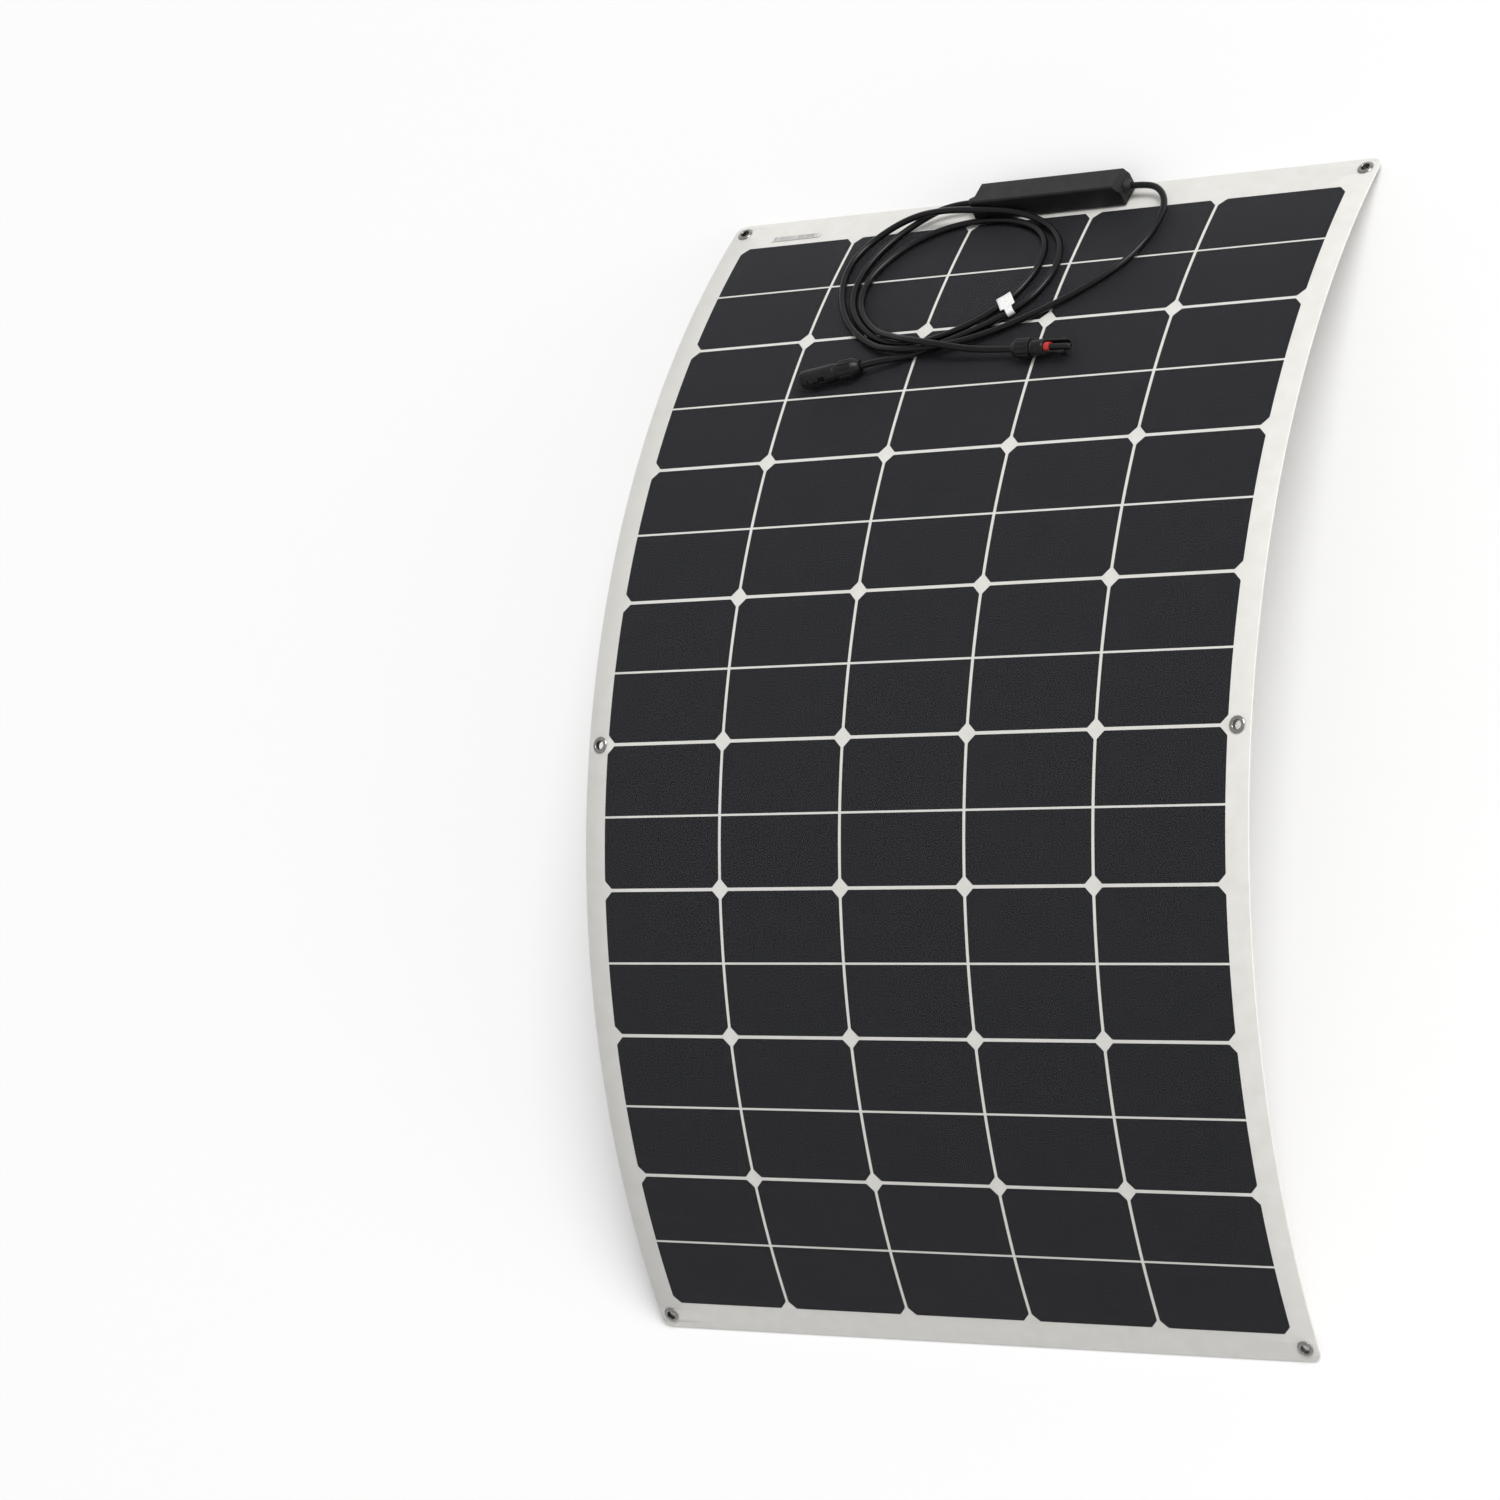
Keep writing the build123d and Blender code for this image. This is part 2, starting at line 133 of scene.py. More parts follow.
# ---- mesh helpers --------------------------------------------------------------------------------
def add_piece(name, verts, faces, material, uvs=None, smooth_angle=40.0):
    """A smooth-shaded mesh object from plain lists; uvs are one pair for each vertex."""
    mesh = bpy.data.meshes.new(name)
    mesh.from_pydata([tuple(v) for v in verts], [], faces)
    if uvs:
        layer = mesh.uv_layers.new(name="UVMap")
        for loop in mesh.loops:
            layer.data[loop.index].uv = uvs[loop.vertex_index]
    mesh.validate()
    bm = bmesh.new()
    bm.from_mesh(mesh)
    bmesh.ops.recalc_face_normals(bm, faces=bm.faces)
    bm.to_mesh(mesh)
    bm.free()
    mesh.shade_smooth()
    mesh.set_sharp_from_angle(angle=math.radians(smooth_angle))
    mesh.materials.append(material)
    piece = bpy.data.objects.new(name, mesh)
    bpy.context.scene.collection.objects.link(piece)
    return piece


def apply_modifiers(piece):
    """Swaps the piece's mesh for what its modifiers make of it."""
    graph = bpy.context.evaluated_depsgraph_get()
    graph.update()
    done = bpy.data.meshes.new_from_object(piece.evaluated_get(graph), depsgraph=graph)
    piece.modifiers.clear()
    piece.data = done


def cut_away(piece, cutter):
    """Cuts the cutter's shape out of the piece, and deletes the cutter."""
    cut = piece.modifiers.new("cut", "BOOLEAN")
    cut.operation = "DIFFERENCE"
    cut.solver = "EXACT"
    cut.object = cutter
    apply_modifiers(piece)
    bpy.data.objects.remove(cutter)


# ---- material helpers ----------------------------------------------------------------------------
def new_material(name):
    """A new node material, with its node tree and its Principled shader."""
    mat = bpy.data.materials.new(name)
    mat.use_nodes = True
    tree = mat.node_tree
    return mat, tree, tree.nodes["Principled BSDF"]


def texture_place(tree, from_uv=False):
    """Texture coordinates in metres, either in the row frame or along the surface."""
    source = tree.nodes.new("ShaderNodeTexCoord")
    return source.outputs["UV" if from_uv else "Object"]


def noise(tree, vector, scale, detail=4.0, roughness=0.55):
    """A noise texture's value."""
    node = tree.nodes.new("ShaderNodeTexNoise")
    node.inputs["Scale"].default_value = scale
    node.inputs["Detail"].default_value = detail
    node.inputs["Roughness"].default_value = roughness
    tree.links.new(vector, node.inputs["Vector"])
    return node.outputs["Fac"]


def ramp(tree, value, low, high, start=0.0, end=1.0):
    """A two-colour ramp over a value."""
    node = tree.nodes.new("ShaderNodeValToRGB")
    node.color_ramp.elements[0].position = start
    node.color_ramp.elements[0].color = (*low, 1)
    node.color_ramp.elements[1].position = end
    node.color_ramp.elements[1].color = (*high, 1)
    tree.links.new(value, node.inputs["Fac"])
    return node.outputs["Color"]


def spread(tree, value, low, high):
    """A value from 0 to 1 taken to low to high."""
    node = tree.nodes.new("ShaderNodeMapRange")
    node.inputs["To Min"].default_value = low
    node.inputs["To Max"].default_value = high
    tree.links.new(value, node.inputs["Value"])
    return node.outputs["Result"]


def bump(tree, height, distance, strength, normal=None):
    """A bump from a height, in metres."""
    node = tree.nodes.new("ShaderNodeBump")
    node.inputs["Distance"].default_value = distance
    node.inputs["Strength"].default_value = strength
    tree.links.new(height, node.inputs["Height"])
    if normal:
        tree.links.new(normal, node.inputs["Normal"])
    return node.outputs["Normal"]


def cell_distance(tree, vector, scale, randomness):
    """A Voronoi texture's distance, for dimples."""
    node = tree.nodes.new("ShaderNodeTexVoronoi")
    node.inputs["Scale"].default_value = scale
    node.inputs["Randomness"].default_value = randomness
    tree.links.new(vector, node.inputs["Vector"])
    return node.outputs["Distance"]


# ---- materials -----------------------------------------------------------------------------------
DIMPLES = 620.0            # dimples in a metre of the clear film


def film_bump(tree, place, depth):
    """The clear film's fine dimples and grain, which show on all that lies under it."""
    dimples = bump(tree, cell_distance(tree, place, DIMPLES, 0.30), depth, 0.6)
    return bump(tree, noise(tree, place, 1500.0, 2.0), depth * 0.25, 0.5, dimples)


def backsheet_material():
    """Warm white polymer sheet with a faint mottle, under the dimpled film."""
    mat, tree, shader = new_material("backsheet_white")
    place = texture_place(tree, from_uv=True)
    mottle = noise(tree, place, 70.0)
    tree.links.new(ramp(tree, mottle, (0.74, 0.725, 0.685), (0.80, 0.785, 0.75), 0.3, 0.7),
                   shader.inputs["Base Color"])
    tree.links.new(spread(tree, noise(tree, place, 400.0), 0.45, 0.62), shader.inputs["Roughness"])
    shader.inputs["Specular IOR Level"].default_value = 0.35
    tree.links.new(film_bump(tree, place, 0.00012), shader.inputs["Normal"])
    return mat


def cell_material():
    """Charcoal silicon, very slightly blue, with a fine speckle and no lines on its face."""
    mat, tree, shader = new_material("silicon_black")
    place = texture_place(tree, from_uv=True)
    speckle = noise(tree, place, 1100.0, 3.0, 0.7)
    tree.links.new(ramp(tree, speckle, (0.0065, 0.0065, 0.0085), (0.018, 0.0185, 0.0225), 0.35, 0.70),
                   shader.inputs["Base Color"])
    tree.links.new(spread(tree, noise(tree, place, 25.0), 0.46, 0.56), shader.inputs["Roughness"])
    shader.inputs["Specular IOR Level"].default_value = 0.10
    tree.links.new(film_bump(tree, place, 0.00022), shader.inputs["Normal"])
    return mat


def film_material():
    """Clear dimpled film: nearly all of what is under it shows through."""
    mat, tree, shader = new_material("clear_dimpled_film")
    place = texture_place(tree, from_uv=True)
    tree.links.new(ramp(tree, noise(tree, place, 40.0), (0.16, 0.165, 0.18), (0.24, 0.24, 0.25)),
                   shader.inputs["Base Color"])
    tree.links.new(spread(tree, noise(tree, place, 200.0), 0.40, 0.55), shader.inputs["Roughness"])
    shader.inputs["Alpha"].default_value = 0.03
    shader.inputs["IOR"].default_value = 1.40
    tree.links.new(film_bump(tree, place, 0.00022), shader.inputs["Normal"])
    return mat


def plastic_material(name, colour, roughness, grain_scale, grain_depth):
    """Black moulded plastic with a spark-eroded grain and faint scuffs."""
    mat, tree, shader = new_material(name)
    place = texture_place(tree)
    light = tuple(c * 1.6 + 0.003 for c in colour)
    scuffs = ramp(tree, noise(tree, place, 70.0), colour, light, 0.35, 0.75)
    tree.links.new(scuffs, shader.inputs["Base Color"])
    tree.links.new(spread(tree, noise(tree, place, 240.0), roughness - 0.07, roughness + 0.09),
                   shader.inputs["Roughness"])
    shader.inputs["Specular IOR Level"].default_value = 0.32
    grain = noise(tree, place, grain_scale, 3.0)
    tree.links.new(bump(tree, grain, grain_depth, 0.7), shader.inputs["Normal"])
    return mat


def jacket_material():
    """Smooth black cable jacket with a soft shine and faint smears."""
    mat, tree, shader = new_material("cable_jacket")
    place = texture_place(tree, from_uv=True)
    smears = noise(tree, place, 60.0)
    tree.links.new(ramp(tree, smears, (0.0025, 0.0025, 0.0030), (0.0065, 0.0065, 0.0075), 0.3, 0.7),
                   shader.inputs["Base Color"])
    tree.links.new(spread(tree, noise(tree, place, 300.0), 0.24, 0.36), shader.inputs["Roughness"])
    shader.inputs["Specular IOR Level"].default_value = 0.30
    tree.links.new(bump(tree, noise(tree, place, 1400.0, 2.0), 0.00004, 0.5), shader.inputs["Normal"])
    return mat


def metal_material(name, colour, roughness):
    """Plated metal with duller patches and a fine grain."""
    mat, tree, shader = new_material(name)
    place = texture_place(tree)
    shader.inputs["Metallic"].default_value = 1.0
    dull = tuple(c * 0.72 for c in colour)
    patches = ramp(tree, noise(tree, place, 500.0), dull, colour, 0.3, 0.65)
    tree.links.new(patches, shader.inputs["Base Color"])
    tree.links.new(spread(tree, noise(tree, place, 900.0), roughness - 0.08, roughness + 0.12),
                   shader.inputs["Roughness"])
    tree.links.new(bump(tree, noise(tree, place, 3000.0, 2.0), 0.00003, 0.4), shader.inputs["Normal"])
    return mat


def soft_material(name, colour, roughness):
    """Rubber, foam or paper: an even colour with a little mottle."""
    mat, tree, shader = new_material(name)
    place = texture_place(tree)
    dark = tuple(c * 0.85 for c in colour)
    mottle = ramp(tree, noise(tree, place, 350.0), dark, colour, 0.3, 0.7)
    tree.links.new(mottle, shader.inputs["Base Color"])
    tree.links.new(spread(tree, noise(tree, place, 700.0), roughness - 0.05, roughness + 0.08),
                   shader.inputs["Roughness"])
    tree.links.new(bump(tree, noise(tree, place, 2500.0, 2.0), 0.00003, 0.5), shader.inputs["Normal"])
    return mat


BACKSHEET = backsheet_material()
SILICON = cell_material()
FILM = film_material()
BOX_PLASTIC = plastic_material("box_plastic", (0.006, 0.006, 0.0065), 0.46, 1600.0, 0.00012)
PLUG_PLASTIC = plastic_material("plug_plastic", (0.004, 0.004, 0.0045), 0.38, 2200.0, 0.00006)
JACKET = jacket_material()
NICKEL = metal_material("nickel", (0.42, 0.41, 0.39), 0.22)
# Dark nickel for the eyelet's bore: painted shade, so the hole looks dark.
BORE_PAINTED_SHADE = metal_material("nickel_bore_painted_shade", (0.10, 0.10, 0.10), 0.45)
TIN = metal_material("tinned_contact", (0.75, 0.74, 0.72), 0.28)
BRASS = metal_material("plated_brass", (0.75, 0.58, 0.30), 0.30)
RED_RUBBER = soft_material("red_seal", (0.55, 0.03, 0.03), 0.45)
BLACK_RUBBER = soft_material("black_rubber", (0.012, 0.012, 0.012), 0.55)
WHITE_FOAM = soft_material("white_foam", (0.70, 0.70, 0.68), 0.85)
PAPER = soft_material("white_paper", (0.86, 0.86, 0.85), 0.75)
LABEL_FILM = soft_material("label_film", (0.70, 0.695, 0.67), 0.5)
LABEL_INK = soft_material("label_ink", (0.33, 0.33, 0.33), 0.6)
DIODE = soft_material("diode_resin", (0.02, 0.02, 0.02), 0.5)


# ---- camera --------------------------------------------------------------------------------------
CAMERA_BACK = 77.21        # degrees round from -Y towards +X
CAMERA_RISE = 52.92        # degrees above the floor
CAMERA_TURN = -75.89       # degrees of roll about the line of sight
CAMERA_DISTANCE = 4.1
CAMERA_AIM = (-0.0786, -0.0366, 0.2857)
CAMERA_LENS = 116.8


def make_camera():
    """Looks down at the arch from its cell side."""
    rise, round_ = math.radians(CAMERA_RISE), math.radians(CAMERA_BACK)
    back = Vector((math.cos(rise) * math.sin(round_), -math.cos(rise) * math.cos(round_), math.sin(rise)))
    rotation = back.to_track_quat("Z", "Y") @ Quaternion((0, 0, 1), math.radians(CAMERA_TURN))
    data = bpy.data.cameras.new("camera")
    data.lens = CAMERA_LENS
    data.sensor_width = 36.0
    camera = bpy.data.objects.new("camera", data)
    place = Vector(CAMERA_AIM) + back * CAMERA_DISTANCE
    camera.matrix_world = Matrix.Translation(place) @ rotation.to_matrix().to_4x4()
    bpy.context.scene.collection.objects.link(camera)
    bpy.context.scene.camera = camera


# ---- cords ---------------------------------------------------------------------------------------
CORD_D = 0.006
SMEAR_STRETCH = 0.15       # the jacket's smears are drawn out along the cord
BOX_LEVEL = -0.018         # the junction box's middle, as a distance below the cells' edge

# x, distance below the cells' upper edge and height above the sheet.
LEFT_ROUTE = [
    (-0.068, BOX_LEVEL, 0.011), (-0.091, BOX_LEVEL, 0.011), (-0.120, -0.007, 0.006),
    (-0.145, 0.018, 0.004), (-0.159, 0.056, 0.004), (-0.1555, 0.092, 0.004),
    (-0.133, 0.1225, 0.004), (-0.100, 0.1435, 0.004), (-0.060, 0.147, 0.004),
    (-0.020, 0.134, 0.004), (0.014, 0.112, 0.004), (0.034, 0.082, 0.004),
    (0.036, 0.048, 0.004), (0.020, 0.020, 0.004), (-0.016, 0.003, 0.004),
    (-0.058, -0.001, 0.004), (-0.098, 0.008, 0.004), (-0.130, 0.032, 0.004),
    (-0.149, 0.066, 0.004), (-0.143, 0.100, 0.004), (-0.116, 0.128, 0.0055),
    (-0.086, 0.143, 0.012), (-0.062, 0.152, 0.0174), (-0.032, 0.159, 0.0172),
    (-0.002, 0.163, 0.0115), (0.024, 0.165, 0.0096), (0.046, 0.166, 0.0096),
]
RIGHT_ROUTE = [
    (0.102, BOX_LEVEL, 0.011), (0.120, BOX_LEVEL, 0.011), (0.135, -0.009, 0.009),
    (0.143, 0.007, 0.006), (0.143, 0.029, 0.0042), (0.136, 0.057, 0.004),
    (0.117, 0.083, 0.004), (0.086, 0.106, 0.004), (0.050, 0.125, 0.004),
    (0.014, 0.141, 0.0045), (-0.020, 0.152, 0.007), (-0.044, 0.157, 0.0108),
    (-0.078, 0.157, 0.0108), (-0.112, 0.146, 0.005), (-0.148, 0.119, 0.004),
    (-0.172, 0.080, 0.004), (-0.178, 0.040, 0.004), (-0.161, 0.009, 0.005),
    (-0.125, -0.005, 0.013), (-0.088, -0.004, 0.0176), (-0.050, 0.0, 0.017),
    (-0.010, 0.0005, 0.011), (0.026, 0.014, 0.0045), (0.050, 0.042, 0.004),
    (0.056, 0.076, 0.004), (0.042, 0.108, 0.004), (0.008, 0.131, 0.004),
    (-0.032, 0.147, 0.004), (-0.068, 0.160, 0.004), (-0.093, 0.1665, 0.0096),
    (-0.112, 0.170, 0.0096),
]


def route_points(route):
    """A route's points in the row frame."""
    return [on_sheet(x, S_CELLS - below, h) for x, below, h in route]


def smooth_line(name, points):
    """Points read from a NURBS spline that has the route's points as its control points."""
    curve = bpy.data.curves.new(name, "CURVE")
    curve.dimensions = "3D"
    spline = curve.splines.new("NURBS")
    spline.points.add(len(points) - 1)
    for target, point in zip(spline.points, points):
        target.co = (*point, 1)
    spline.order_u = 3
    spline.use_endpoint_u = True
    spline.resolution_u = 10
    holder = bpy.data.objects.new(name, curve)
    bpy.context.scene.collection.objects.link(holder)
    line = bpy.data.meshes.new_from_object(holder)
    path = [v.co.copy() for v in line.vertices]
    bpy.data.objects.remove(holder)
    return path


def tube(name, path, radius, sides=20):
    """A round jacket along a path, closed at both ends, with its length and girth as UVs."""
    tangents = [(b - a).normalized() for a, b in zip([path[0]] + path[:-1], path[1:] + [path[-1]])]
    side = tangents[0].orthogonal().normalized()
    verts, uvs, faces = [], [], []
    run = 0.0
    for i, (point, tangent) in enumerate(zip(path, tangents)):
        side = (side - tangent * side.dot(tangent)).normalized()
        other = tangent.cross(side)
        run += (point - path[i - 1]).length if i else 0.0
        for k in range(sides):
            angle = 2 * math.pi * k / sides
            verts.append(point + (side * math.cos(angle) + other * math.sin(angle)) * radius)
            uvs.append((run * SMEAR_STRETCH, radius * angle))
    for i in range(len(path) - 1):
        for k in range(sides):
            a, b = i * sides + k, i * sides + (k + 1) % sides
            faces.append((a, b, b + sides, a + sides))
    faces.append(tuple(range(sides))[::-1])
    faces.append(tuple(range(len(verts) - sides, len(verts))))
    return add_piece(name, verts, faces, JACKET, uvs, 60.0)


def make_cord(node, route, pieces):
    """One lead: a tube along its route over the sheet."""
    points = route_points(route)
    path = smooth_line(node + "_line", points)
    piece = tube("lead_" + node, path, CORD_D / 2)
    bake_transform(piece)
    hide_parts(node)


def half_width(s):
    """Half the sheet's width at s, less near its two ends where the corners are round."""
    from_end = S_END - abs(s)
    if from_end >= CORNER_RADIUS:
        return SHEET_WIDTH / 2
    rise = CORNER_RADIUS - from_end
    return SHEET_WIDTH / 2 - CORNER_RADIUS + math.sqrt(max(CORNER_RADIUS ** 2 - rise ** 2, 0.0))


def spaced(places):
    """The places in order, without any that the next one nearly repeats."""
    ordered = sorted(places)
    return [a for a, b in zip(ordered, ordered[1:]) if b - a > SAME_PLACE] + ordered[-1:]


def stations(s0, s1):
    """Places along the sheet from s0 up to s1, closer together in the round corners."""
    count = round((s1 - s0) / LAYER_STEP)
    places = {s0 + (s1 - s0) * i / count for i in range(count + 1)}
    for end in (-S_END, S_END):
        for i in range(CORNER_STEPS + 1):
            depth = CORNER_RADIUS * (1 - math.cos(math.pi / 2 * i / CORNER_STEPS))
            place = end - math.copysign(depth, end)
            if s0 <= place <= s1:
                places.add(place)
    return spaced(places)


def layer(name, s0, s1, h0, h1, material, edge):
    """A full-width layer as a closed plate whose long edges are bevelled by edge."""
    profile = [(-1, -edge, h0), (-1, 0, h0 + edge), (-1, 0, h1 - edge), (-1, -edge, h1)]
    inner = [-1 + 2 * i / LAYER_COLUMNS for i in range(1, LAYER_COLUMNS)]
    profile += [(share, 0, h1) for share in inner]
    profile += [(1, -edge, h1), (1, 0, h1 - edge), (1, 0, h0 + edge), (1, -edge, h0)]
    profile += [(-share, 0, h0) for share in inner]
    verts, uvs, faces = [], [], []
    rows = stations(s0, s1)
    for s in rows:
        width = half_width(s)
        for share, inset, h in profile:
            x = share * (width + inset)
            verts.append(on_sheet(x, s, h))
            uvs.append((x, s))
    n = len(profile)
    for i in range(len(rows) - 1):
        for k in range(n):
            a, b = i * n + k, i * n + (k + 1) % n
            faces.append((a, b, b + n, a + n))
    faces.append(tuple(range(n))[::-1])
    faces.append(tuple(range(len(verts) - n, len(verts))))
    return add_piece(name, verts, faces, material, uvs, 50.0)


def cut_eyelet_holes(piece, s):
    """Cuts the two eyelet holes at s through the piece."""
    for side in (-1, 1):
        mesh = bpy.data.meshes.new("hole")
        bm = bmesh.new()
        bmesh.ops.create_cone(bm, cap_ends=True, segments=48, radius1=EYELET_HOLE, radius2=EYELET_HOLE,
                              depth=CUTTER_DEPTH, matrix=sheet_matrix(side * EYELET_X, s))
        bm.to_mesh(mesh)
        bm.free()
        cutter = bpy.data.objects.new("hole", mesh)
        bpy.context.scene.collection.objects.link(cutter)
        cut_away(piece, cutter)


def half_cell_outline(x0, s_cut, s_straight):
    """A half cell's outline: two cut corners, slightly rounded, on its s_cut side."""
    toward = math.copysign(1, s_straight - s_cut)
    soft = CELL_SOFTNESS
    corner = [                 # inwards from the cell's side, and from its cut edge
        (0, CELL_CORNER + soft), (soft * 0.4, CELL_CORNER - soft * 0.5),
        (CELL_CORNER - soft * 0.5, soft * 0.4), (CELL_CORNER + soft, 0),
    ]
    right = [(x0 + CELL - inwards, s_cut + toward * up) for inwards, up in corner]
    left = [(x0 + inwards, s_cut + toward * up) for inwards, up in reversed(corner)]
    return [(x0, s_straight), (x0 + CELL, s_straight), *right, *left]


def clip_width(outline, s):
    """The outline's lowest and highest x at s."""
    found = []
    for (xa, sa), (xb, sb) in zip(outline, outline[1:] + outline[:1]):
        if abs(sb - sa) < TINY and abs(s - sa) < TINY:
            found += [xa, xb]
        elif min(sa, sb) - TINY <= s <= max(sa, sb) + TINY:
            found.append(xa + (s - sa) / (sb - sa) * (xb - xa))
    return min(found), max(found)


def half_cell(x0, s_cut, s_straight, verts, uvs, faces):
    """Adds one half cell to the lists as a thin closed wafer that follows the bend."""
    outline = half_cell_outline(x0, s_cut, s_straight)
    places = {s for _, s in outline}
    places |= {s_cut + (s_straight - s_cut) * i / CELL_STEPS for i in range(CELL_STEPS + 1)}
    ordered = spaced(places)
    start = len(verts)
    for s in ordered:
        low, high = clip_width(outline, s)
        for x, h in ((low, BACK_TOP), (low, CELL_TOP), (high, CELL_TOP), (high, BACK_TOP)):
            verts.append(on_sheet(x, s, h))
            uvs.append((x, s))
    for i in range(len(ordered) - 1):
        for k in range(4):
            a, b = start + i * 4 + k, start + i * 4 + (k + 1) % 4
            faces.append((a, b, b + 4, a + 4))
    faces.append((start + 3, start + 2, start + 1, start))
    last = len(verts) - 4
    faces.append((last, last + 1, last + 2, last + 3))


def row_of_cells(row):
    """One row: five cells, each in two halves."""
    verts, uvs, faces = [], [], []
    top = S_CELLS - row * ROW_PITCH
    bottom = top - ROW_LENGTH
    for column in range(COLUMNS):
        x0 = (column - (COLUMNS - 1) / 2) * CELL_PITCH - CELL / 2
        half_cell(x0, top, top - HALF_CELL, verts, uvs, faces)
        half_cell(x0, bottom, bottom + HALF_CELL, verts, uvs, faces)
    return add_piece(f"cells_row_{row}", verts, faces, SILICON, uvs, 30.0)


def stand_for(piece, material_slot, *nodes):
    """Hides the CAD nodes that a piece stands for; the piece and the material slot are not used."""
    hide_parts(*nodes)


def make_margin(name, body, s0, s1, eyelet_s, index=None):
    """A plain end of the sheet, which doesn't bend; index is of the CAD strip that it stands for.

    The bottom margin has none, because the last row stands for the CAD strip under both.
    """
    back = layer(f"backsheet_{name}", s0, s1, -THICKNESS, BACK_TOP, BACKSHEET, BACK_EDGE)
    film = layer(f"film_{name}", s0, s1, FILM_BOTTOM, 0.0, FILM, FILM_EDGE)
    for piece in (back, film):
        cut_eyelet_holes(piece, eyelet_s)
        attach(piece, body)
    if index is not None:
        stand_for(back, "backsheet", f"backsheet_{index}", f"interconnects_{index}")
        stand_for(film, "front_film", f"front_film_{index}")


def make_row(row):
    """One row of the sheet, curved along the arc from one strip to the next. It stands for the lower one's
    nodes.
    """
    upper = S_CELLS - row * ROW_PITCH + CELL_GAP / 2
    lower = upper - ROW_PITCH
    back = layer(f"backsheet_row_{row}", lower, upper, -THICKNESS, BACK_TOP, BACKSHEET, BACK_EDGE)
    film = layer(f"film_row_{row}", lower, upper, FILM_BOTTOM, 0.0, FILM, FILM_EDGE)
    cells = row_of_cells(row)
    if row in (3, 4):
        cut_eyelet_holes(back, S_MIDDLE)
        cut_eyelet_holes(film, S_MIDDLE)
    for piece in (back, film, cells):
        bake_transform(piece)
    below = row + 1
    stand_for(back, "backsheet", f"backsheet_{below}", f"interconnects_{below}")
    stand_for(film, "front_film", f"front_film_{below}")
    first_half_row = ["cells_0"] if row == 0 else []
    stand_for(cells, "cell", f"cells_{below}", *first_half_row)


def make_sheet():
    """All the sheet's pieces."""
    top = S_CELLS + CELL_GAP / 2
    bottom = S_CELLS - ROWS * ROW_PITCH + CELL_GAP / 2
    make_margin("top_margin", "strip_0", top, S_END, S_END - EYELET_INSET, 0)
    make_margin("bottom_margin", "strip_8", -S_END, bottom, EYELET_INSET - S_END)
    for row in range(ROWS):
        make_row(row)


# ---- turned and extruded parts, in millimetres ---------------------------------------------------
MM = 0.001
EYELET_PROFILE = [         # radius and height of a rolled eyelet, from the foot of its bore
    (4.0, -4.1), (4.0, -2.0), (4.0, 0.2), (4.1, 0.65), (4.5, 0.95), (5.1, 1.05), (5.9, 0.98),
    (6.7, 0.72), (7.3, 0.36), (7.5, 0.08), (5.0, 0.05), (5.0, -3.66), (5.9, -3.7), (6.2, -3.95),
    (5.9, -4.25), (4.6, -4.35),
]
BORE_SIDES = 3             # this many of its first faces are the bore, painted dark as shade
NUT_PROFILE = [            # place along the plug and radius
    (0.0, 3.05), (0.0, 4.4), (0.5, 5.2), (2.2, 6.4), (4.4, 7.6), (6.4, 8.5), (7.4, 8.85), (8.4, 9.0),
    (14.0, 9.0), (19.6, 9.0), (20.6, 8.8), (21.0, 8.3), (21.0, 7.9), (20.4, 7.8), (20.4, 3.05),
]
SLEEVE_PROFILE = [
    (20.0, 2.0), (20.0, 7.4), (21.0, 7.5), (24.6, 7.5), (25.4, 7.7), (26.2, 8.15), (27.0, 8.2), (58.4, 8.2),
    (59.4, 8.0), (60.0, 7.5), (60.0, 6.8), (59.4, 6.4), (31.0, 6.4), (30.0, 6.0), (30.0, 2.0),
]
COLLAR_PROFILE = [
    (20.0, 1.6), (20.0, 7.2), (21.2, 7.4), (23.0, 7.4), (23.3, 6.9), (24.2, 6.9), (24.5, 7.4), (30.0, 7.4),
    (33.6, 7.3), (35.0, 6.4), (35.0, 3.2), (58.0, 3.2), (60.0, 2.9), (61.0, 2.3), (61.0, 1.6),
]
FINGER_OUTLINE = [         # a sprung finger with its barb, seen from above
    (33.0, 5.4), (57.2, 5.2), (58.0, 5.7), (57.6, 6.4), (54.8, 8.1), (52.0, 8.1), (51.4, 7.1), (42.0, 6.8),
    (33.0, 7.2),
]
NUT_RIBS = 12
RIB_DEPTH = 0.75           # of the grooves between the ribs, cut where the nut is widest
NUT_R = 9.0
LATCH_WINDOWS = [(35.5, 41.5), (46.0, 52.5)]    # from where to where along the sleeve
WINDOW_WIDTH = 4.2
WINDOW_LEAN = 24.0         # degrees that both sides' windows lean away from the sheet
WINDOW_REACH = (4.0, 11.0)
FINGER_WIDTH = 5.5


def spin(profile, sides, place, ribs=0):
    """Turns a closed profile (along, radius) about the local X axis, with grooves between any ribs."""
    verts, faces = [], []
    for along, radius in profile:
        for k in range(sides):
            angle = 2 * math.pi * k / sides
            groove = 0.5 - 0.5 * math.cos(ribs * angle)
            cut = RIB_DEPTH * groove ** 3 if radius >= NUT_R else 0.0
            r = (radius - cut) * MM
            verts.append(place @ Vector((along * MM, r * math.cos(angle), r * math.sin(angle))))
    count = len(profile)
    for i in range(count):
        for k in range(sides):
            a, b = i * sides + k, i * sides + (k + 1) % sides
            c, d = (i + 1) % count * sides + (k + 1) % sides, (i + 1) % count * sides + k
            faces.append((a, b, c, d))
    return verts, faces


def extrude(outline, z0, z1, place, mirror=1):
    """A plate between two heights with the outline (x, y) seen from above."""
    verts = [place @ Vector((x * MM, mirror * y * MM, z * MM)) for z in (z0, z1) for x, y in outline]
    n = len(outline)
    faces = [tuple(range(n)), tuple(range(n, 2 * n))]
    faces += [(k, (k + 1) % n, n + (k + 1) % n, n + k) for k in range(n)]
    return verts, faces


